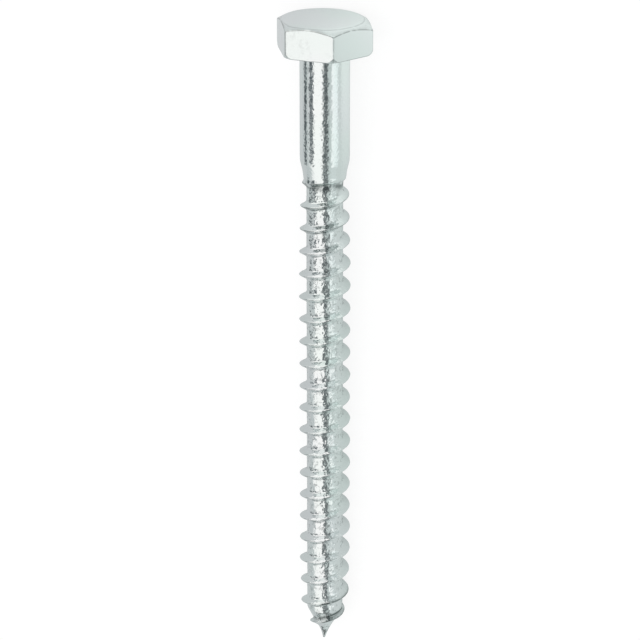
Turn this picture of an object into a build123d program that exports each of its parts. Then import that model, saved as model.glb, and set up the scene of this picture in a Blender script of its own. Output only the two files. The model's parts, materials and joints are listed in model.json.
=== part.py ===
from build123d import *
import os
from math import atan2, ceil, cos, degrees, radians, tan

# Hex lag screw (coach screw), M10 x 120 in the DIN 571 pattern: hexagon head, plain shank, reduced
# neck, and a coarse wood-screw thread that runs on round a cone point. The real screw is headed and
# rolled from one length of wire, so it is one solid.
#
# It is drawn with its axis on Z: the bearing face of the head lies at z = 0, the head below it and
# the point at z = length. At the end it is laid down as it comes to rest on a flat surface, with
# its head towards +Y. Millimetres and degrees.

# ---- Driving dimensions --------------------------------------------------------------------------
length = 120.0                  # bearing face to the end of the point

across_flats = 16.3
head_height = 6.1
crown_flat_diameter = 15.2      # round flat on top of the head
crown_angle = 36.0              # fall of the crown from that flat towards the corners
corner_relief_width = 0.45      # the corners are also broken on the bearing side
corner_relief_height = 0.9
under_head_flare = 0.3          # the shank widens by this much where it meets the head

shank_diameter = 9.3
shank_length = 20.6             # full-diameter part, measured from the bearing face
shoulder_radius = 8.0           # soft edge where the shank starts to narrow
neck_diameter = 7.9             # at the foot of the neck, just above the first root of the thread
neck_foot = 24.6
core_start = 26.2               # from here on the core has the root diameter

crest_diameter = 9.7
root_diameter = 6.86
pitch = 4.54
flank_angle = 32.0              # each flank, from the plane square to the axis

runout_start = 23.2             # the crest grows out of the neck from here
runout_start_diameter = 7.8
runout_end = 30.6               # and has its full height here

thread_end = 111.6              # the last crest of full height
thread_clock = 159.0            # where that crest stands, turned about Z from +X
crest_cone_angle = 23.0         # half angle of the crests round the point
point_length = 7.0              # cone of the core
blunt_diameter = 0.7            # the very end of the cone is rubbed to a short blunt nose
blunt_length = 0.7
fade_start = 116.2              # the last crest runs down into the cone between these two
fade_end = 117.8

# ---- Worked out from them ------------------------------------------------------------------------
shank_radius = shank_diameter / 2
crest_radius = crest_diameter / 2
root_radius = root_diameter / 2
flat_radius = across_flats / 2
corner_radius = flat_radius / cos(radians(30))
point_start = length - point_length
ridge_sink = 0.5                # how far the foot of the thread's profile lies inside the core
clear = 1.0                     # how far an outline stands off what it doesn't cut


def turned(*outline):
    """A solid turned about Z from an outline of (radius, z) points."""
    return revolve(Plane.XZ * make_face(Polyline(*outline, close=True)), Axis.Z)


def head():
    """Hexagon with a turned crown on top and its six corners broken underneath."""
    hexagon = extrude(RegularPolygon(flat_radius, 6, major_radius=False), -head_height)
    crown_drop = (corner_radius - crown_flat_diameter / 2) * tan(radians(crown_angle))
    trim = turned(
        (0, -head_height),
        (crown_flat_diameter / 2, -head_height),
        (corner_radius, crown_drop - head_height),
        (corner_radius, -corner_relief_height),
        (corner_radius - corner_relief_width, 0),
        (0, 0),
    )
    return hexagon & trim


def shaft():
    """Shank, neck, core and cone point in one turned outline."""
    outline = make_face(
        Polyline(
            (0, 0),
            (shank_radius, 0),
            (shank_radius, shank_length),
            (neck_diameter / 2, neck_foot),
            (root_radius, core_start),
            (root_radius, point_start),
            (blunt_diameter / 2, length - blunt_length),
            (blunt_diameter / 4, length),
            (0, length),
            close=True,
        )
    )
    shoulder = outline.vertices().sort_by_distance((shank_radius, shank_length))[0]
    return revolve(Plane.XZ * fillet(shoulder, shoulder_radius), Axis.Z)


def thread_profile(z):
    """Section of the thread in the XZ plane, with its sharp crest at height z."""
    foot_radius = root_radius - ridge_sink
    half_foot = (crest_radius - foot_radius) * tan(radians(flank_angle))
    section = Polyline(
        (foot_radius, z - half_foot),
        (crest_radius, z),
        (foot_radius, z + half_foot),
        close=True,
    )
    return Plane.XZ * make_face(section)


def thread():
    """One profile swept along a turn of the helix, repeated up the screw, and swept on along a cone
    helix round the point. It is trimmed to the turned space that the rolled crests fill, so that it
    grows at the neck and dies on the point."""
    first_turn = thread_end - pitch
    turn = sweep(
        thread_profile(first_turn),
        Helix(pitch, pitch, root_radius, center=(0, 0, first_turn)),
        is_frenet=True,
    )
    point_helix = Helix(
        pitch, point_length, root_radius, center=(0, 0, thread_end), cone_angle=-crest_cone_angle
    )
    point_turns = sweep(thread_profile(thread_end), point_helix, is_frenet=True)
    turn_count = ceil((thread_end - runout_start) / pitch)
    ridge = point_turns.fuse(*[Pos(Z=-pitch * n) * turn for n in range(turn_count)])
    growth = (crest_radius - runout_start_diameter / 2) / (runout_end - runout_start)
    fade_start_radius = crest_radius - (fade_start - thread_end) * tan(radians(crest_cone_angle))
    fade_end_radius = (length - fade_end) * root_radius / point_length
    crests = turned(
        (0, runout_start),
        (runout_start_diameter / 2, runout_start),
        (crest_radius + clear, runout_end + clear / growth),
        (crest_radius + clear, fade_start),
        (fade_start_radius, fade_start),
        (fade_end_radius, fade_end),
        (0, fade_end),
    )
    return (Rot(Z=thread_clock) * ridge) & crests


def rest_tilt():
    """Slope of the axis at rest: the screw lies on the lower edge of a flat at the bearing face and
    on the last crest of full height that passes underneath."""
    underside = -90
    crest_there = thread_end + pitch * ((underside - thread_clock) % 360) / 360
    last_full_crest = crest_there - pitch
    return degrees(atan2(flat_radius - crest_radius, last_full_crest))


def lag_screw():
    """The whole screw on its axis, with the small flare under the head."""
    blank = head() + shaft()
    under_head = blank.edges().filter_by(GeomType.CIRCLE).sort_by_distance((shank_radius, 0, 0))[0]
    return chamfer(under_head, under_head_flare) + thread()


lying = Rot(X=90 + rest_tilt()) * lag_screw()
box = lying.bounding_box()
lying = Pos(0, -box.center().Y, -box.min.Z) * lying

os.makedirs("parts", exist_ok=True)
export_step(lying, "parts/lag_screw.step")
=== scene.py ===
import json
from math import atan2, ceil, cos, pi, radians, sin, tan

import bpy
import numpy as np
from mathutils import Matrix, Vector, noise


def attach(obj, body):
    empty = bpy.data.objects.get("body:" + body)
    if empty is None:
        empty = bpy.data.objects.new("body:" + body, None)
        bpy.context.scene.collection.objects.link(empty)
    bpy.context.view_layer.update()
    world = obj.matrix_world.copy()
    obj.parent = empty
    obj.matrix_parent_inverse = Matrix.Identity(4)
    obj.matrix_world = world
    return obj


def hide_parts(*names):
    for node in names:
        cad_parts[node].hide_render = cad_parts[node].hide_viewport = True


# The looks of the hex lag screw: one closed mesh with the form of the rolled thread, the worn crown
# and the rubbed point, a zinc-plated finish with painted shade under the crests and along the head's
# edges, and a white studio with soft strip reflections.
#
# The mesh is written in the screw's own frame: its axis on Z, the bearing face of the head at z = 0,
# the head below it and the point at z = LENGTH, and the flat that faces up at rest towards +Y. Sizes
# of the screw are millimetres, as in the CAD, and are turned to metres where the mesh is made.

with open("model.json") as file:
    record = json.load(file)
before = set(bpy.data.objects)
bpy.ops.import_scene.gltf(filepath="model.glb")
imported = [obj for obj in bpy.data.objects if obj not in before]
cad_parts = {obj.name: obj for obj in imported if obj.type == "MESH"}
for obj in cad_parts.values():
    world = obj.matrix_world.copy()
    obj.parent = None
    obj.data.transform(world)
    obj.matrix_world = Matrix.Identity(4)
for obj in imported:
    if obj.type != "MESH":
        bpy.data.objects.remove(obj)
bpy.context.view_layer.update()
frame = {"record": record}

MM = 0.001

# ---- Sizes of the screw (mm, degrees) ------------------------------------------------------------
LENGTH = 120.0

ACROSS_FLATS = 16.3
HEAD_HEIGHT = 6.1
CORNER_ROUND = 0.35             # radius of the six upright edges
CROWN_DIAMETER = 14.9           # the flat on top of the head
CROWN_FALL = 30.0               # slope of the chamfer round it
CROWN_OFFSET = 0.5              # the crown was struck a little off centre ...
CROWN_OFFSET_TURN = 160.0       # ... at this turn about Z from +X
LEAST_CHAMFER = 0.12            # the crown's chamfer is nowhere narrower
RELIEF_WIDTH = 0.45             # the corners are broken on the bearing side
RELIEF_HEIGHT = 0.9
EDGE_BREAK = 0.12               # every lower edge is broken by this much
CROWN_RIM_REACH = 0.6           # the rounding of an edge starts this far from it
UPPER_EDGE_REACH = 0.20
LOWER_EDGE_REACH = 0.10

SHANK_RADIUS = 4.65
UNDER_HEAD_ROUND = 0.4

PITCH = 4.54
CREST_RADIUS = 4.85
CREST_HALF_WIDTH = 0.15
FIRST_CREST_EXTRA = 0.30        # the crest starts broader than it goes on ...
FIRST_CREST_END = 27.0          # ... until here, with a fade of this length
FIRST_CREST_FADE = 2.0
FLANK_ANGLE = 29.5              # each flank, from the plane square to the axis
ROOT_BLEND = 0.5                # softness of the root corners
CREST_AT = 111.6                # one place that the crest line passes: this z ...
CREST_TURN = 159.0              # ... at this turn about Z from +X

# Radius of the shank and the neck, and of the core below them, down to the point.
NECK_LINE = ((0.0, 4.65), (20.9, 4.65), (22.8, 4.18), (24.7, 3.93), (30.0, 3.60))
CORE_LINE = (
    (0.0, 3.43), (113.0, 3.43), (116.4, 1.69), (117.3, 1.18), (118.1, 0.80), (119.0, 0.46),
    (119.6, 0.33), (120.0, 0.15),
)
LINE_SOFT = 0.35
NECK_END = 24.9                 # the neck breaks off here, a little sooner on one side
NECK_END_SWAY = 0.45
NECK_END_TURN = 39.5
NECK_STEP = 0.70                # length of the rounded step down to the core

# Radius of the crest: it grows out of the neck, and dies on the point.
CREST_LINE = (
    (0.0, 2.2), (22.6, 3.60), (24.2, 3.92), (25.4, 4.22), (27.7, 4.57), (34.5, 4.69), (39.0, 4.82),
    (42.0, 4.85), (103.0, 4.85), (105.0, 4.72), (110.0, 4.66), (111.8, 4.62), (113.8, 3.92),
    (116.1, 2.94), (117.9, 0.90), (120.0, -2.0),
)
CREST_SOFT = 0.25

POINT_BEND = 0.14               # the very end of the point stands off the axis
POINT_BEND_FROM = 116.0
POINT_BEND_TURN = 159.5

# Unevenness of the rolled part: how much it is, and how long along the surface.
CREST_WAVE, CREST_WAVE_LENGTH = 0.07, 4.0
CREST_NICK, CREST_NICK_LENGTH = 0.04, 0.9
CREST_LEAN, CREST_LEAN_LENGTH = 0.05, 3.0
ROOT_DENT, ROOT_DENT_LENGTH = 0.045, 0.85
ROOT_PIT, ROOT_PIT_LENGTH = 0.03, 0.45
SMOOTH_FROM, SMOOTH_AT = 115.0, 118.0   # the dents of the root fade out between these heights
ROOT_HEIGHT = 0.3               # a flank counts as root up to this height over the core

# ---- Where shade is painted (mm along the axis, degrees; amounts from 0 to 1) --------------------
LIP_SHADE_BELOW = 0.50          # painted shade sits this far below the lip of the neck, this wide, ...
LIP_SHADE_WIDTH = 0.28
LIP_SHADE_BELOW_MORE = 0.45     # ... and is lower and wider on the side of NECK_END_TURN
LIP_SHADE_WIDTH_MORE = 0.42
FIRST_CRESTS_END = 40.0         # the first crests carry more painted shade, up to here ...
FIRST_CRESTS_FADE = 8.0         # ... with a fade of this length
UNDER_CREST = 0.60              # the painted shade under a crest lies this far below its line
UNDER_CREST_WIDTH = 0.42
# a thin line of painted shade lies just under the crest line
CREST_EDGE_SHADE_BELOW = 0.08
CREST_EDGE_SHADE_WIDTH = 0.15
LEAST_CREST_SHADE = 0.15
LAST_CRESTS_FROM = 107.0        # the last crests have a broad line of painted shade under them, on one side only
LAST_CRESTS_FADE = 2.0
LAST_CREST_EDGE_SHADE = 2.0
LAST_CREST_EDGE_BELOW_MORE = 0.08
LAST_CREST_EDGE_WIDTH_MORE = 0.10
SHADED_SIDE_TURN = -12.0
SHADED_SIDE_EDGE = 4.0           # how sharply that side ends
RUN_OUT_FROM = 113.2            # a band of painted dark reflection runs above the very end of the crest
RUN_OUT_FADE = 0.4
RUN_OUT_ABOVE = 0.7
RUN_OUT_WIDTH = 0.4
RIM_SHADE = 0.35                # painted shade on the head: along the crown's rim, ...
UPPER_EDGE_SHADE = (0.25, 0.65, 0.65)   # ... the edge between chamfer and flats, row by row, ...
LOWER_EDGE_SHADE = 0.8
UPRIGHT_EDGE_SHADE = 0.5        # ... and the six upright edges
UPRIGHT_EDGE_WIDTH = 0.7        # degrees
UPRIGHT_EDGE_FROM = 0.5         # they stay unshaded this near to the crown

# ---- Grid of the mesh ----------------------------------------------------------------------------
COLUMNS = 120                   # round the axis
COLUMN_CROWDING = 2.1           # how closely the head's columns stand at the corners
CROWN_ROWS = (0.3, 0.6, 0.8)    # rows across the crown, the flats and the bearing face
FLAT_ROWS = (0.3, 0.5, 0.7)
BEARING_ROWS = (0.35, 0.7, 1.0)
CROWN_RIM_ROWS, UPPER_EDGE_ROWS, LOWER_EDGE_ROWS = 6, 4, 3
FILLET_ROWS, SHANK_ROWS = 4, 18
CREST_LEVEL = COLUMNS // 2      # a pitch has COLUMNS levels; its crest is on this one ...
HALF_PITCH_LEVELS = (2, 4, 8, 12, 16, 19, 22, 25, 28, 32, 38, 45, 52)   # ... and rows this far off it
SPIRAL_FROM = 18.9              # the spiral part of the grid starts about here
SQUEEZE_FROM = 118.2            # and past this height it is squeezed into the rest of the point
POINT_RING = 119.95

# ---- The view ------------------------------------------------------------------------------------
AIM_AT = 52.95                  # mm along the axis from the bearing face
AIM_ASIDE = 0.91                # the axis passes this far right of the middle of the view (mm)
AIM_BELOW = 0.095
DISTANCE = 551.87
VIEW_TURN = 69.465              # where the camera stands, turned about the axis from +X
VIEW_SLOPE = 21.0               # how far the line of sight leans from square towards the point
VIEW_LEAN = 0.039
LENS = 163.73
SENSOR = 36.0


# ==== Where the screw lies ========================================================================
mounts = {mount["name"]: mount for mount in frame["record"]["mounts"]}
axis = Vector(mounts["hex_drive"]["axis"]) * -1
across = Vector((1, 0, 0))
upward = axis.cross(across).normalized()
bearing_centre = Vector(mounts["hex_drive"]["pos_m"]) + axis * (HEAD_HEIGHT / 2 * MM)
placed = Matrix((across, upward, axis)).transposed().to_4x4()
placed.translation = bearing_centre


# ==== Camera ======================================================================================
def make_camera():
    """A long lens that looks down on the screw, a little from the side of its head."""
    turn, slope, lean = radians(VIEW_TURN), radians(VIEW_SLOPE), radians(VIEW_LEAN)
    towards = Vector((cos(turn), sin(turn), 0))
    right = Vector((sin(turn), -cos(turn), 0))
    point = Vector((0, 0, 1))
    forward = point * sin(slope) - towards * cos(slope)
    down = point * cos(slope) + towards * sin(slope)
    right, down = right * cos(lean) + down * sin(lean), down * cos(lean) - right * sin(lean)
    stand = (point * AIM_AT - right * AIM_ASIDE - down * AIM_BELOW - forward * DISTANCE) * MM
    pose = Matrix((right, -down, -forward)).transposed().to_4x4()
    pose.translation = stand
    data = bpy.data.cameras.new("camera")
    data.lens = LENS
    data.sensor_width = SENSOR
    camera = bpy.data.objects.new("camera", data)
    camera.matrix_world = placed @ pose
    bpy.context.scene.collection.objects.link(camera)
    bpy.context.scene.camera = camera


# ==== Form of the screw ===========================================================================
def soft_line(points, softness):
    """A line through the points, with its corners rounded over about the given length."""
    z, r = np.array(points).T
    steps = np.linspace(-2, 2, 17)
    weights = np.exp(-steps ** 2)
    weights /= weights.sum()

    def radius(at):
        return sum(w * np.interp(at + s * softness, z, r) for w, s in zip(weights, steps))

    return radius


neck_radius = soft_line(NECK_LINE, LINE_SOFT)
core_radius = soft_line(CORE_LINE, LINE_SOFT)
crest_radius = soft_line(CREST_LINE, CREST_SOFT)


def noise_at(points, scale, seed):
    """Smooth noise of about -1 to 1 at the points (mm), with features of the given size. Each seed
    reads another place of the noise."""
    shift = Vector((seed * 7.3, seed * 3.1, seed * 5.7))
    return np.array([noise.noise(Vector(p) / scale + shift) for p in points])


def bell(off, width):
    """1 in the middle of a soft band, and falling off to both sides of it."""
    return np.exp(-(off / width) ** 2)


def on_cylinder(angle, z, radius):
    return np.stack([radius * np.cos(angle), radius * np.sin(angle), z], axis=-1)


def neck_end_at(angle):
    return NECK_END - NECK_END_SWAY * np.cos(angle - radians(NECK_END_TURN))


def shaft_painted_shade(angle, z, off_crest, on_ridge):
    """How much shade is painted on the threaded shaft (0 to 1): under the lip of the neck, under the
    first crests, on the crests, and at the point."""
    towards_end = (1 + np.cos(angle - radians(NECK_END_TURN))) / 2
    below_lip = z - neck_end_at(angle) - LIP_SHADE_BELOW - LIP_SHADE_BELOW_MORE * towards_end
    under_lip = bell(below_lip, LIP_SHADE_WIDTH + LIP_SHADE_WIDTH_MORE * towards_end)

    first = np.clip((FIRST_CRESTS_END - z) / FIRST_CRESTS_FADE, 0, 1)
    last = np.clip((z - LAST_CRESTS_FROM) / LAST_CRESTS_FADE, 0, 1)
    under_crest = (LEAST_CREST_SHADE + (1 - LEAST_CREST_SHADE) * first) \
        * bell(off_crest - UNDER_CREST, UNDER_CREST_WIDTH)
    shaded_side = np.clip(0.5 + SHADED_SIDE_EDGE * np.cos(angle - radians(SHADED_SIDE_TURN)), 0, 1)
    crest_edge_shade_amount = np.maximum(first, LEAST_CREST_SHADE) + LAST_CREST_EDGE_SHADE * last * shaded_side
    crest_edge_shade = crest_edge_shade_amount * bell(off_crest - CREST_EDGE_SHADE_BELOW - LAST_CREST_EDGE_BELOW_MORE * last,
                         CREST_EDGE_SHADE_WIDTH + LAST_CREST_EDGE_WIDTH_MORE * last)
    run_out = bell(off_crest + RUN_OUT_ABOVE, RUN_OUT_WIDTH) \
        * np.clip((z - off_crest - RUN_OUT_FROM) / RUN_OUT_FADE, 0, 1)

    on_crest = np.maximum(under_crest, crest_edge_shade) * on_ridge
    return np.maximum(np.maximum(under_lip, on_crest), run_out)


def shaft_radius(angle, z):
    """Radius of the threaded shaft at points given by angle and height. Also returns how far each
    point lies in the root (0 to 1) and how much shade is painted on it (0 to 1)."""
    crest_here = CREST_AT + PITCH * (angle - radians(CREST_TURN)) / (2 * pi)
    off_crest = (z - crest_here + PITCH / 2) % PITCH - PITCH / 2
    crest_z = z - off_crest

    past_neck = np.clip((z - neck_end_at(angle)) / NECK_STEP + 0.5, 0, 1) ** 2
    core = neck_radius(z) * (1 - past_neck) + core_radius(z) * past_neck
    spot = on_cylinder(angle, z, core)
    dents = ROOT_DENT * noise_at(spot, ROOT_DENT_LENGTH, 4) + ROOT_PIT * noise_at(spot, ROOT_PIT_LENGTH, 5)
    core = core + dents * past_neck * np.clip((SMOOTH_AT - z) / (SMOOTH_AT - SMOOTH_FROM), 0, 1)

    along_crest = on_cylinder(angle, crest_z, np.full_like(z, CREST_RADIUS))
    top = crest_radius(crest_z) + CREST_WAVE * noise_at(along_crest, CREST_WAVE_LENGTH, 1) \
        + CREST_NICK * noise_at(along_crest, CREST_NICK_LENGTH, 2)
    lean = CREST_LEAN * noise_at(along_crest, CREST_LEAN_LENGTH, 3)
    first_turn = np.clip((FIRST_CREST_END - crest_z) / FIRST_CREST_FADE, 0, 1)
    width = CREST_HALF_WIDTH + FIRST_CREST_EXTRA * first_turn
    distance = np.sqrt((off_crest - lean) ** 2 + width ** 2) - width
    ridge = top - distance / np.tan(radians(FLANK_ANGLE))

    overlap = np.clip(ROOT_BLEND - np.abs(ridge - core), 0, None) / ROOT_BLEND
    radius = np.maximum(ridge, core) + overlap ** 2 * ROOT_BLEND / 4
    in_root = np.clip((core + ROOT_HEIGHT - ridge) / (2 * ROOT_HEIGHT), 0, 1)
    return radius, in_root, shaft_painted_shade(angle, z, off_crest, ridge > core)


class Skin:
    """Collects the points and faces of one closed mesh, with two marks for the finish: how far a
    point lies in a root of the thread, and how much shade is painted on it."""

    def __init__(self):
        self.points = []
        self.marks = []
        self.faces = []
        self.count = 0

    def add(self, xyz, in_root=0.0, painted_shade=0.0):
        xyz = np.asarray(xyz, float).reshape(-1, 3)
        marks = np.zeros((len(xyz), 2))
        marks[:, 0] = in_root
        marks[:, 1] = painted_shade
        self.points.append(xyz)
        self.marks.append(marks)
        self.count += len(xyz)
        return range(self.count - len(xyz), self.count)

    def band(self, upper, lower):
        """Quads between two rings of COLUMNS points."""
        for k in range(COLUMNS):
            n = (k + 1) % COLUMNS
            self.faces.append((upper[k], upper[n], lower[n], lower[k]))

    def close(self, middle, ring, at_crown):
        """Triangles from a ring to the point in its middle."""
        for k in range(COLUMNS):
            n = (k + 1) % COLUMNS
            self.faces.append((middle, ring[n], ring[k]) if at_crown else (middle, ring[k], ring[n]))


def even_columns():
    return np.arange(COLUMNS) * 2 * pi / COLUMNS


def head_columns():
    """Angles of the columns round the head: close together at the six corners."""
    per_side = COLUMNS // 6
    column = np.arange(COLUMNS)
    from_corner = (column + per_side // 2) % per_side - per_side // 2
    share = np.abs(from_corner) / (per_side / 2)
    corner = (column - from_corner) / per_side * radians(60)
    return corner + np.sign(from_corner) * radians(30) * share ** COLUMN_CROWDING


def from_nearest_corner(angle):
    return (angle + radians(30)) % radians(60) - radians(30)


def hexagon_radius(angle):
    """Distance from the axis to a hexagon with rounded corners. One flat faces +Y."""
    flat = ACROSS_FLATS / 2
    from_corner = from_nearest_corner(angle)
    straight = flat / np.cos(radians(30) - np.abs(from_corner))
    centre = (flat - CORNER_ROUND) / cos(radians(30))
    inside = CORNER_ROUND ** 2 - (centre * np.sin(from_corner)) ** 2
    rounded = centre * np.cos(from_corner) + np.sqrt(np.clip(inside, 0, None))
    touch = atan2(CORNER_ROUND * sin(radians(30)), centre + CORNER_ROUND * cos(radians(30)))
    return np.where(np.abs(from_corner) < touch, rounded, straight)


def rounded_corner(before, corner, after, reach, count):
    """Rows that round a corner off, in every column at once. The curve leaves and meets the sides
    at the given distance from the corner, or nearer where a side is short."""
    def towards(other):
        side = other - corner
        length = np.linalg.norm(side, axis=-1, keepdims=True)
        return corner + side / length * np.minimum(reach, 0.45 * length)

    start, end = towards(before), towards(after)
    return [start * (1 - t) ** 2 + corner * 2 * t * (1 - t) + end * t ** 2
            for t in np.linspace(0, 1, count)]


def head_rows(angle):
    """(radius, z) of the head's rows in every column, from the crown to the bearing face. Also
    returns how much shade is painted on the rows along the edges, by the number of the row."""
    outer = hexagon_radius(angle)
    crown = CROWN_DIAMETER / 2
    turn = angle - radians(CROWN_OFFSET_TURN)
    rim = CROWN_OFFSET * np.cos(turn) + np.sqrt(crown ** 2 - (CROWN_OFFSET * np.sin(turn)) ** 2)
    rim = np.minimum(rim, outer - LEAST_CHAMFER)
    from_crown = np.hypot(outer - CROWN_OFFSET * np.cos(turn), CROWN_OFFSET * np.sin(turn)) - crown
    drop = np.maximum(from_crown, LEAST_CHAMFER) * tan(radians(CROWN_FALL))
    relief = np.maximum(outer - (ACROSS_FLATS / 2 / cos(radians(30)) - RELIEF_WIDTH), 0)
    break_in = EDGE_BREAK + relief
    break_up = EDGE_BREAK + relief * RELIEF_HEIGHT / RELIEF_WIDTH

    def row(radius, z):
        return np.stack([radius + np.zeros(COLUMNS), z + np.zeros(COLUMNS)], axis=-1)

    middle = row(0, -HEAD_HEIGHT)
    rim_edge = row(rim, -HEAD_HEIGHT)
    crown_edge = row(outer, drop - HEAD_HEIGHT)
    lower_edge = row(outer, -break_up)
    bearing_edge = row(outer - break_in, 0)
    fillet_foot = row(SHANK_RADIUS + UNDER_HEAD_ROUND, 0)
    rows = [middle + (rim_edge - middle) * share for share in CROWN_ROWS]
    rows += rounded_corner(middle, rim_edge, crown_edge, CROWN_RIM_REACH, CROWN_RIM_ROWS)
    painted_shade_rows = {len(rows) - 2: RIM_SHADE}
    painted_shade_rows.update(enumerate(UPPER_EDGE_SHADE, start=len(rows)))
    rows += rounded_corner(rim_edge, crown_edge, lower_edge, UPPER_EDGE_REACH, UPPER_EDGE_ROWS)
    rows += [crown_edge + (lower_edge - crown_edge) * share for share in FLAT_ROWS]
    painted_shade_rows[len(rows) + 1] = LOWER_EDGE_SHADE
    rows += rounded_corner(crown_edge, lower_edge, bearing_edge, LOWER_EDGE_REACH, LOWER_EDGE_ROWS)
    rows += rounded_corner(lower_edge, bearing_edge, fillet_foot, LOWER_EDGE_REACH, LOWER_EDGE_ROWS)
    return rows, painted_shade_rows


def add_head(skin):
    """Crown, sides and bearing face. Returns the ring at the foot of the fillet under the head."""
    angle = head_columns()
    rows, painted_shade_rows = head_rows(angle)
    on_edge = bell(np.degrees(from_nearest_corner(angle)), UPRIGHT_EDGE_WIDTH) * UPRIGHT_EDGE_SHADE
    middle = skin.add([(0, 0, -HEAD_HEIGHT)])[0]
    rings = []
    for index, row in enumerate(rows):
        upright = row[:, 1] > UPRIGHT_EDGE_FROM - HEAD_HEIGHT
        painted_shade = np.maximum(painted_shade_rows.get(index, 0.0), on_edge * upright)
        rings.append(skin.add(on_cylinder(angle, row[:, 1], row[:, 0]), 0.0, painted_shade))
    skin.close(middle, rings[0], at_crown=True)
    edge = rows[-1][:, 0]
    foot = SHANK_RADIUS + UNDER_HEAD_ROUND
    for share in BEARING_ROWS:
        turn = angle + (even_columns() - angle) * share
        rings.append(skin.add(on_cylinder(turn, np.zeros(COLUMNS), edge + (foot - edge) * share)))
    for upper, lower in zip(rings, rings[1:]):
        skin.band(upper, lower)
    return rings[-1]


def add_shank(skin, ring, end_z):
    """Fillet under the head and plain shank. Returns its last ring."""
    rows = [(SHANK_RADIUS + UNDER_HEAD_ROUND * (1 - sin(a)), UNDER_HEAD_ROUND * (1 - cos(a)))
            for a in radians(90) * np.linspace(0, 1, FILLET_ROWS + 1)[1:]]
    rows += [(SHANK_RADIUS, z) for z in np.linspace(UNDER_HEAD_ROUND, end_z, SHANK_ROWS + 2)[1:-1]]
    for radius, z in rows:
        lower = skin.add(on_cylinder(even_columns(), np.full(COLUMNS, z), radius))
        skin.band(ring, lower)
        ring = lower
    return ring


def add_thread(skin, ring, start_z):
    """Neck, thread and point, on a grid that runs in a spiral, so that its rows follow the crest.

    Heights are counted in levels of PITCH / COLUMNS. The row that starts at level q stands at level
    k + q in column k, and goes on as the row of the next turn. A wedge of level rows fills the space
    between the last ring of the shank and the first turn, and another one closes the last turn."""
    step = PITCH / COLUMNS
    spread = list(HALF_PITCH_LEVELS)
    levels = [0] + [CREST_LEVEL - q for q in reversed(spread)] + [CREST_LEVEL]
    levels += [CREST_LEVEL + q for q in spread]
    last = ceil((SQUEEZE_FROM - start_z) / PITCH) * COLUMNS
    end = last + COLUMNS
    squeeze = (SQUEEZE_FROM - start_z) / step
    number = {}
    first_number = skin.count

    def face(*corners):
        keys = [(column % COLUMNS, level) for column, level in corners]
        skin.faces.append(tuple(number.setdefault(key, first_number + len(number)) for key in keys))

    def columns_between(k, upper_levels, shift):
        """Quads from column k to the next between neighbouring levels, which may climb by shift."""
        for upper, lower in zip(upper_levels, upper_levels[1:]):
            face((k, upper), (k + 1, upper + shift), (k + 1, lower + shift), (k, lower))

    for k in range(COLUMNS):
        shared = [q for q in levels if q <= k]
        columns_between(k, shared, 0)
        if shared[-1] == k:
            face((k, k), (k + 1, k), (k + 1, k + 1))
        else:
            face((k, shared[-1]), (k + 1, shared[-1]), (k + 1, k + 1), (k, k))
    for k in range(last):
        columns_between(k, [k + q for q in levels] + [k + COLUMNS], 1)
    for k in range(last - COLUMNS, last):
        foot = k + 1 + COLUMNS
        shared = [last + q for q in levels if last + q >= foot] + [end]
        if shared[0] == foot:
            face((k, foot - 1), (k + 1, foot), (k, foot))
        else:
            face((k, foot - 1), (k + 1, foot), (k + 1, shared[0]), (k, shared[0]))
        columns_between(k, shared, 0)

    column, level = np.array(list(number), float).T
    angle = column * 2 * pi / COLUMNS
    past = np.maximum(level - squeeze, 0) / (end - squeeze)
    z = start_z + np.minimum(level, squeeze) * step + past * (POINT_RING - SQUEEZE_FROM)
    radius, in_root, painted_shade = shaft_radius(angle, z)
    skin.add(on_cylinder(angle, z, radius), in_root, painted_shade)
    skin.band(ring, [number[(k, 0)] for k in range(COLUMNS)])
    point = skin.add([(0, 0, LENGTH)])[0]
    skin.close(point, [number[(k, end)] for k in range(COLUMNS)], at_crown=False)


def weighted_normals(points, faces):
    """Normals at the points, each face counted by its area, so that the flats stay flat."""
    normals = np.zeros_like(points)
    for corners in (3, 4):
        group = np.array([face for face in faces if len(face) == corners])
        a, b, c, d = (points[group[:, i]] for i in (0, 1, 2, corners - 1))
        area = np.cross(c - a, d - b) if corners == 4 else np.cross(b - a, c - a)
        for i in range(corners):
            np.add.at(normals, group[:, i], area)
    return normals / np.linalg.norm(normals, axis=1, keepdims=True)


def make_screw():
    """The whole screw as one mesh, in the screw's own frame, laid where the CAD has it."""
    crest_at_zero = CREST_AT - PITCH * CREST_TURN / 360
    start_z = crest_at_zero - PITCH / 2
    start_z -= round((start_z - SPIRAL_FROM) / PITCH) * PITCH
    skin = Skin()
    ring = add_head(skin)
    ring = add_shank(skin, ring, start_z)
    add_thread(skin, ring, start_z)
    points = np.concatenate(skin.points)
    marks = np.concatenate(skin.marks)
    past = np.maximum(points[:, 2] - POINT_BEND_FROM, 0) / (LENGTH - POINT_BEND_FROM)
    points[:, 0] += POINT_BEND * past ** 2 * cos(radians(POINT_BEND_TURN))
    points[:, 1] += POINT_BEND * past ** 2 * sin(radians(POINT_BEND_TURN))

    turned = np.array(placed.to_3x3())
    laid = points * MM @ turned.T + np.array(placed.translation)
    normals = weighted_normals(points, skin.faces) @ turned.T
    mesh = bpy.data.meshes.new("lag_screw_form")
    mesh.from_pydata(laid.tolist(), [], skin.faces)
    mesh.polygons.foreach_set("use_smooth", [True] * len(mesh.polygons))
    mesh.normals_split_custom_set_from_vertices(normals.tolist())
    for index, name in enumerate(("in_root", "painted_shade")):
        layer = mesh.attributes.new(name, "FLOAT", "POINT")
        layer.data.foreach_set("value", marks[:, index].astype(np.float32))
    layer = mesh.attributes.new("place", "FLOAT_VECTOR", "POINT")
    layer.data.foreach_set("vector", (points * MM).astype(np.float32).ravel())
    mesh.update()
    screw = bpy.data.objects.new("lag_screw_form", mesh)
    bpy.context.scene.collection.objects.link(screw)
    return screw


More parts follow.
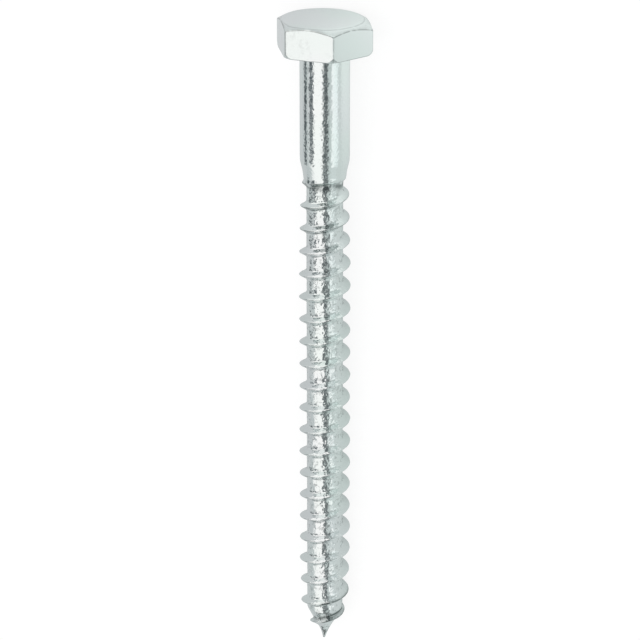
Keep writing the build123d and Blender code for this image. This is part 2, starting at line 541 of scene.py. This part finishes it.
# ==== Materials ===================================================================================
# Colours are linear, as the shaders take them. Places and the heights of the bump are in mm, and the
# scale of a noise is in features per metre. A spread is the two values of a noise between which what
# it makes goes from nothing to full.
HEAD_FINISH_FADE = 0.2          # the finish changes this near to the bearing face, ...
THREAD_FINISH = (23.5, 25.5)    # ... and again between these heights
UPPER_FLAT = (7.8, 8.1)
TIP_FINISH = (118.5, 117.0)
ZINC, ZINC_PALER = (0.895, 0.95, 0.935), (0.915, 0.94, 0.945)
ZINC_SCALE, ZINC_SPREAD = 90, (0.35, 0.65)
PAINTED_SHADE_AND_PITS = (0.25, 0.28, 0.275)     # painted shade; also the dark of the pits in the root
SHADE_BLOTCH_SCALE, SHADE_BLOTCH_SPREAD = 700, (0.25, 0.55)
SPECKLE_SCALE = 1450            # the rolled part has dull spots and, in its root, pits of this scale
CLEAN_ROUGHNESS, DULL_ROUGHNESS, DULL_SPREAD = 0.03, 0.22, (0.45, 0.62)
PIT_SHARE, PIT_SPREAD = 0.34, (0.52, 0.64)
SCUFF = (0.40, 0.42, 0.43)      # faint scuffs on the flat of the head that faces up
SCUFF_SCALE, SCUFF_SPREAD = 420, (0.52, 0.68)
SCUFF_SHARE = 0.13
HEAD_ROUGHNESS = 0.19
GRAIN_SCALE = 2200
HEAD_GRAIN, SHANK_GRAIN, THREAD_GRAIN = 0.0015, 0.034, 0.050
TIP_GRAIN_SHARE = 0.05          # the grain fades out at the tip
DIMPLE_SCALE = 900
DIMPLE_HEIGHT = 0.19            # only in the root

WHITE_FLOOR_DIFFUSE = (0.20, 0.20, 0.20, 1)     # the camera sees light and shadow on this ...
WHITE_FLOOR_GLOW = 0.82         # ... and this much plain white on top
# painted light and shade on the floor, for all rays but the camera's: paler by the head, greyer at the left
FLOOR_BY_THREAD, FLOOR_BY_HEAD = (0.66, 0.71, 0.70), (0.89, 0.94, 0.925)
FLOOR_HEAD_FADE = (15, 60)
FLOOR_AT_LEFT = (0.60, 0.60, 0.62)
FLOOR_LEFT_FADE = (6, -14)
FLOOR_LEFT_SHARE = 0.6
FLOOR_GLOW = 0.80               # strength of the floor's own light for all rays but the camera's
FLOOR_GLOW_SHARE = 0.5


class Nodes:
    """Short names for building a node tree."""

    def __init__(self, tree):
        self.tree = tree
        tree.nodes.clear()

    def node(self, kind, inputs=(), **settings):
        node = self.tree.nodes.new(kind)
        for name, value in settings.items():
            setattr(node, name, value)
        for socket, value in dict(inputs).items():
            if isinstance(value, bpy.types.NodeSocket):
                self.tree.links.new(value, node.inputs[socket])
            else:
                node.inputs[socket].default_value = value
        return node

    def math(self, operation, *values):
        return self.node("ShaderNodeMath", enumerate(values), operation=operation).outputs[0]

    def mix(self, share, a, b):
        node = self.node("ShaderNodeMix", {"Factor": share}, data_type="RGBA")
        for socket, value in ((node.inputs[6], a), (node.inputs[7], b)):
            if isinstance(value, bpy.types.NodeSocket):
                self.tree.links.new(value, socket)
            else:
                socket.default_value = (*value, 1)
        return node.outputs[2]

    def ramp(self, value, low, high, to_low=0.0, to_high=1.0, smooth=True):
        """Goes from to_low to to_high while the value goes from low to high."""
        kind = "SMOOTHSTEP" if smooth else "LINEAR"
        inputs = {"Value": value, "From Min": low, "From Max": high, "To Min": to_low, "To Max": to_high}
        return self.node("ShaderNodeMapRange", inputs, interpolation_type=kind).outputs[0]

    def place_ramp(self, value, low, high, to_low=0.0, to_high=1.0):
        """The same for a place, with its ends in mm."""
        return self.ramp(value, low * MM, high * MM, to_low, to_high)

    def noise(self, vector, scale, detail=2.0, rough=0.5):
        inputs = {"Vector": vector, "Scale": scale, "Detail": detail, "Roughness": rough}
        return self.node("ShaderNodeTexNoise", inputs).outputs["Fac"]


def zinc_material():
    """Bright zinc plating: satin on the forged head, glossier on the rolled shank and thread, and
    darkened by painted shade where the mesh marks it.
    """
    material = bpy.data.materials.new("zinc_plated_steel_finish")
    material.use_nodes = True
    n = Nodes(material.node_tree)
    place = n.node("ShaderNodeAttribute", attribute_name="place").outputs["Vector"]
    in_root = n.node("ShaderNodeAttribute", attribute_name="in_root").outputs["Fac"]
    painted_shade = n.node("ShaderNodeAttribute", attribute_name="painted_shade").outputs["Fac"]
    parts = n.node("ShaderNodeSeparateXYZ", {0: place}).outputs
    on_head = n.place_ramp(parts["Z"], HEAD_FINISH_FADE, -HEAD_FINISH_FADE)
    on_thread = n.place_ramp(parts["Z"], *THREAD_FINISH)
    rooted = n.math("MULTIPLY", on_thread, in_root)
    speckle = n.noise(place, SPECKLE_SCALE, 2, 0.6)

    tint = n.mix(n.ramp(n.noise(place, ZINC_SCALE, 1), *ZINC_SPREAD), ZINC, ZINC_PALER)
    blotch = n.ramp(n.noise(place, SHADE_BLOTCH_SCALE, 2), *SHADE_BLOTCH_SPREAD)
    # painted shade, in blotches: under the lip and the crests, above the end of the crest, along the head's
    # edges
    tint = n.mix(n.math("MULTIPLY", painted_shade, blotch), tint, PAINTED_SHADE_AND_PITS)
    pits = n.ramp(speckle, *PIT_SPREAD, 0, PIT_SHARE)
    tint = n.mix(n.math("MULTIPLY", rooted, pits), tint, PAINTED_SHADE_AND_PITS)
    on_upper_flat = n.math("MULTIPLY", on_head, n.place_ramp(parts["Y"], *UPPER_FLAT))
    scuffs = n.ramp(n.noise(place, SCUFF_SCALE, 3, 0.7), *SCUFF_SPREAD, 0, SCUFF_SHARE)
    tint = n.mix(n.math("MULTIPLY", on_upper_flat, scuffs), tint, SCUFF)

    rough = n.ramp(speckle, *DULL_SPREAD, CLEAN_ROUGHNESS, DULL_ROUGHNESS)
    rough = n.ramp(on_head, 0, 1, rough, HEAD_ROUGHNESS, smooth=False)

    grain = n.ramp(on_head, 0, 1, SHANK_GRAIN, HEAD_GRAIN, smooth=False)
    grain = n.ramp(on_thread, 0, 1, grain, THREAD_GRAIN, smooth=False)
    grain = n.math("MULTIPLY", grain, n.place_ramp(parts["Z"], *TIP_FINISH, TIP_GRAIN_SHARE, 1))
    grain = n.math("MULTIPLY", grain, n.noise(place, GRAIN_SCALE, 0))
    dimples = n.math("MULTIPLY", n.noise(place, DIMPLE_SCALE), n.math("MULTIPLY", rooted, DIMPLE_HEIGHT))
    height = n.math("ADD", grain, dimples)
    bump = n.node("ShaderNodeBump", {"Strength": 1.0, "Distance": MM, "Height": height}).outputs[0]
    shader = n.node("ShaderNodeBsdfPrincipled", {
        "Base Color": tint, "Metallic": 1.0, "Roughness": rough, "Normal": bump,
    }).outputs[0]
    n.node("ShaderNodeOutputMaterial", {"Surface": shader})
    return material


def floor_material():
    """Pale floor. The camera sees it white, with the soft shadow of the screw. Other rays see it half
    lit from below, with painted light that makes it paler towards the head and painted shade that
    makes it greyer at the left."""
    material = bpy.data.materials.new("studio_floor")
    material.use_nodes = True
    n = Nodes(material.node_tree)
    place = n.node("ShaderNodeSeparateXYZ", {0: n.node("ShaderNodeTexCoord").outputs["Object"]}).outputs
    pale = n.mix(n.place_ramp(place["Y"], *FLOOR_HEAD_FADE), FLOOR_BY_THREAD, FLOOR_BY_HEAD)
    at_left = n.place_ramp(place["X"], *FLOOR_LEFT_FADE, 0, FLOOR_LEFT_SHARE)
    pale = n.mix(at_left, pale, FLOOR_AT_LEFT)
    lit = n.node("ShaderNodeBsdfDiffuse", {"Color": pale}).outputs[0]
    glow = n.node("ShaderNodeEmission", {"Color": pale, "Strength": FLOOR_GLOW}).outputs[0]
    reflected = n.node("ShaderNodeMixShader", {0: FLOOR_GLOW_SHARE, 1: lit, 2: glow}).outputs[0]

    shaded = n.node("ShaderNodeBsdfDiffuse", {"Color": WHITE_FLOOR_DIFFUSE}).outputs[0]
    bright = n.node("ShaderNodeEmission", {"Strength": WHITE_FLOOR_GLOW}).outputs[0]
    white = n.node("ShaderNodeAddShader", {0: shaded, 1: bright}).outputs[0]
    to_camera = n.node("ShaderNodeLightPath").outputs["Is Camera Ray"]
    seen = n.node("ShaderNodeMixShader", {0: to_camera, 1: reflected, 2: white}).outputs[0]
    n.node("ShaderNodeOutputMaterial", {"Surface": seen})
    return material


# ==== Studio ======================================================================================
# Lengths are in metres. Turns are degrees about the screw, from straight up towards +X. A fade along
# the screw runs from one value to the other of how far a direction points along it, which is -1 for
# the direction to its head and 1 for the direction to its point.
FLOOR_HALF_SIZE = 1.5

WORLD_LEVEL = 0.75              # strength for the rays that light things; camera and reflections see 1
WARM_WHITE = (1.0, 0.985, 0.975)
STRIPS = (                      # middle, half width and softness of a strip, and its colour
    (-90, 36, 18, (0.52, 0.55, 0.555)),
    (75, 38, 8, (0.62, 0.67, 0.665)),
    (40, 12, 8, (0.54, 0.59, 0.58)),
)
GLINT = (61, 7, 4)              # a bright strip, which is missing ahead of the point
GLINT_COLOUR = (0.98, 1.0, 0.99)
GLINT_FADE = (0.55, 0.45)
BEHIND_HEAD = (0.47, 0.52, 0.51)    # behind the head one side is this, and the other is white
BEHIND_TURNS = (6, 18)
BEHIND_FADE = (-0.3, -0.55)
DIM, DIM_PALER = (0.095, 0.108, 0.11), (0.29, 0.315, 0.32)
DIM_TURN = 24.0                 # the middle of a dim band that runs all along, ...
DIM_OUTSIDE, DIM_INSIDE = 16.5, 7.5     # ... is gone this far off it and full this near to it
DIM_BEHIND_FADE = (-0.1, -0.4)  # behind the head it turns aside and is wider ...
DIM_TURN_BEHIND = 12.0
DIM_WIDER_BEHIND = 7.0
DIM_AHEAD_FADE = (0.42, 0.60)   # ... and ahead of the point it is wider too
DIM_WIDER_AHEAD = 5.0
AHEAD, FAR_AHEAD = (0.15, 0.16, 0.16), (0.50, 0.55, 0.54)
AHEAD_FADE, FAR_AHEAD_FADE = (0.83, 0.88), (0.948, 0.958)
PATCH_SCALE, PATCH_SPREAD = 9, (0.4, 0.6)

CARD_AWAY = 0.24
CARD_FROM = -0.075              # the cards end here along Y, so that the lower thread is past them
CARD_TO = 0.15
CARD_SOFT_END = 0.030
CARD_PATCH_SCALE = 45
DARK, LESS_DARK = (0.08, 0.095, 0.10), (0.27, 0.29, 0.305)
PALE = (0.87, 0.93, 0.925)

LAMP_STAND = (0.12, 0.0, 0.8)
LAMP_SIZE = (0.5, 0.9)
LAMP_WATTS = 2.2


def make_floor():
    """One flat square, at the height that the screw lies on."""
    size = FLOOR_HALF_SIZE
    mesh = bpy.data.meshes.new("floor")
    mesh.from_pydata([(-size, -size, 0), (size, -size, 0), (size, size, 0), (-size, size, 0)], [],
                     [(0, 1, 2, 3)])
    floor = bpy.data.objects.new("floor", mesh)
    floor.data.materials.append(floor_material())
    bpy.context.scene.collection.objects.link(floor)


def make_world():
    """White surroundings. In reflections they have soft strips that run along the screw."""
    world = bpy.data.worlds.new("studio")
    bpy.context.scene.world = world
    world.use_nodes = True
    n = Nodes(world.node_tree)
    towards = n.node("ShaderNodeTexCoord").outputs["Generated"]
    parts = n.node("ShaderNodeSeparateXYZ", {0: towards}).outputs
    turn = n.math("DEGREES", n.math("ARCTAN2", parts["X"], parts["Z"]))
    to_point = n.math("MULTIPLY", parts["Y"], -1.0)

    def strip(middle, half_width, soft):
        off = n.math("ABSOLUTE", n.math("SUBTRACT", turn, middle))
        return n.ramp(off, half_width + soft, half_width - soft)

    colour = WARM_WHITE
    for middle, half_width, soft, tone in STRIPS:
        colour = n.mix(strip(middle, half_width, soft), colour, tone)
    glint = n.math("MULTIPLY", strip(*GLINT), n.ramp(to_point, *GLINT_FADE))
    colour = n.mix(glint, colour, GLINT_COLOUR)
    behind = n.mix(n.ramp(turn, *BEHIND_TURNS), WARM_WHITE, BEHIND_HEAD)
    colour = n.mix(n.ramp(to_point, *BEHIND_FADE), colour, behind)

    dim = n.mix(n.ramp(n.noise(towards, PATCH_SCALE, 1), *PATCH_SPREAD), DIM, DIM_PALER)
    back = n.ramp(to_point, *DIM_BEHIND_FADE)
    aside = n.math("MULTIPLY", back, DIM_TURN_BEHIND)
    off = n.math("ABSOLUTE", n.math("ADD", n.math("SUBTRACT", turn, DIM_TURN), aside))
    wider = n.math("ADD", n.math("MULTIPLY", back, DIM_WIDER_BEHIND),
                   n.ramp(to_point, *DIM_AHEAD_FADE, 0, DIM_WIDER_AHEAD))
    colour = n.mix(n.ramp(n.math("SUBTRACT", off, wider), DIM_OUTSIDE, DIM_INSIDE), colour, dim)
    ahead = n.mix(n.ramp(to_point, *FAR_AHEAD_FADE), AHEAD, FAR_AHEAD)
    colour = n.mix(n.ramp(to_point, *AHEAD_FADE), colour, ahead)

    ray = n.node("ShaderNodeLightPath").outputs
    shown = n.mix(ray["Is Glossy Ray"], (1.0, 1.0, 1.0), colour)
    seen = n.math("MAXIMUM", ray["Is Camera Ray"], ray["Is Glossy Ray"])
    strength = n.ramp(seen, 0, 1, WORLD_LEVEL, 1.0, smooth=False)
    sky = n.node("ShaderNodeBackground", {"Color": shown, "Strength": strength}).outputs[0]
    n.node("ShaderNodeOutputWorld", {"Surface": sky})


def make_card(name, turn, half_width, soft, colour, patches=None):
    """A studio card beside the upper part of the screw, which only its reflections see. It stands
    CARD_AWAY from the axis, at the given turn, and fades out at its edges. Patches are the colour of
    its soft spots, if it has any."""
    middle, half_length = (CARD_FROM + CARD_TO) / 2, (CARD_TO - CARD_FROM) / 2
    mesh = bpy.data.meshes.new(name)
    x, y = half_width + soft, half_length + CARD_SOFT_END
    mesh.from_pydata([(-x, -y, 0), (x, -y, 0), (x, y, 0), (-x, y, 0)], [], [(0, 1, 2, 3)])
    card = bpy.data.objects.new(name, mesh)
    card.location = (CARD_AWAY * sin(radians(turn)), middle, CARD_AWAY * cos(radians(turn)))
    card.rotation_euler = (0, radians(turn), 0)
    for kind in ("camera", "diffuse", "transmission", "volume_scatter", "shadow"):
        setattr(card, "visible_" + kind, False)

    material = bpy.data.materials.new(name)
    material.use_nodes = True
    n = Nodes(material.node_tree)
    place = n.node("ShaderNodeTexCoord").outputs["Object"]
    parts = n.node("ShaderNodeSeparateXYZ", {0: place}).outputs
    across = n.ramp(n.math("ABSOLUTE", parts["X"]), half_width + soft, half_width - soft)
    along = n.ramp(n.math("ABSOLUTE", parts["Y"]), half_length + CARD_SOFT_END, half_length - CARD_SOFT_END)
    tone = (*colour, 1)
    if patches:
        tone = n.mix(n.ramp(n.noise(place, CARD_PATCH_SCALE, 1), *PATCH_SPREAD), colour, patches)
    shine = n.node("ShaderNodeEmission", {"Color": tone, "Strength": 1.0}).outputs[0]
    clear = n.node("ShaderNodeBsdfTransparent").outputs[0]
    shown = n.math("MULTIPLY", across, along)
    surface = n.node("ShaderNodeMixShader", {0: shown, 1: clear, 2: shine}).outputs[0]
    n.node("ShaderNodeOutputMaterial", {"Surface": surface})
    card.data.materials.append(material)
    bpy.context.scene.collection.objects.link(card)


def make_cards():
    """Two dark cards on one side and a pale one on the other."""
    make_card("dark_card_high", turn=-43, half_width=0.045, soft=0.015, colour=DARK, patches=LESS_DARK)
    make_card("dark_card_low", turn=-78, half_width=0.030, soft=0.022, colour=DARK)
    make_card("pale_card", turn=68, half_width=0.050, soft=0.045, colour=PALE)


def make_lamp():
    """One large soft lamp above the screw, which reflections don't see."""
    data = bpy.data.lights.new("softbox", "AREA")
    data.shape = "RECTANGLE"
    data.size, data.size_y = LAMP_SIZE
    data.energy = LAMP_WATTS
    lamp = bpy.data.objects.new("softbox", data)
    stand = Vector(LAMP_STAND)
    lamp.location = stand
    lamp.rotation_euler = (-stand).to_track_quat("-Z", "Y").to_euler()
    lamp.visible_glossy = False
    bpy.context.scene.collection.objects.link(lamp)


bpy.context.scene.view_settings.view_transform = "Standard"
make_camera()
make_floor()
make_world()
make_cards()
make_lamp()
screw = make_screw()
screw.data.materials.append(zinc_material())
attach(screw, "root")
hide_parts("lag_screw")
